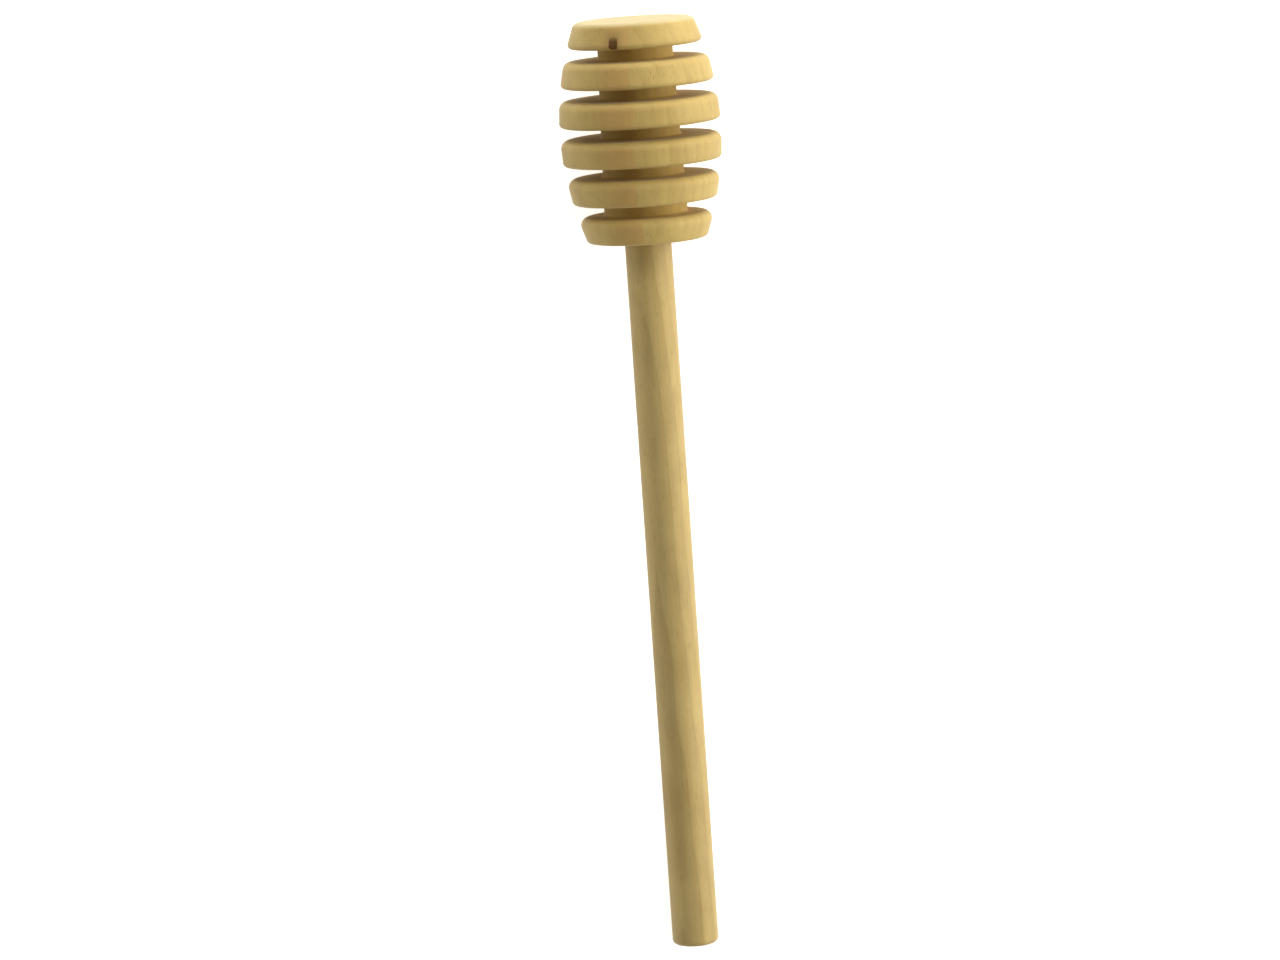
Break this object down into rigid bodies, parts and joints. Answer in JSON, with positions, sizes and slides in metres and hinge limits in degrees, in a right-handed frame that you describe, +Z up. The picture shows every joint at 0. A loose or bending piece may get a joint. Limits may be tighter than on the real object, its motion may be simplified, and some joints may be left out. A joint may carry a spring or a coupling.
{
  "type": "honey dipper",
  "caption": "Turned wooden honey dipper: a barrel-shaped head cut into rounded discs by deep slots, glued on a straight dowel handle with a rounded tip.",
  "frame": {"origin": "centre of the bounding box's base, on the table that the dipper lies on", "axes": "+Z up from the table, +X along the dipper from the handle's tip to the head; the tool's own axis climbs 4.02 degrees towards the head, because it rests on its tip and on the belly of the head"},
  "size_m": [0.1604, 0.0274, 0.0277],
  "materials": {
    "turned_wood": "bare close-grained hardwood, turned and lightly sanded",
    "dowel_wood": "bare close-grained hardwood dowel",
    "glue": "cured wood glue, amber white"
  },
  "bodies": {
    "root": {"dipper_head": "turned_wood", "handle": "dowel_wood", "wood_glue": "glue"}
  },
  "joints": []
}
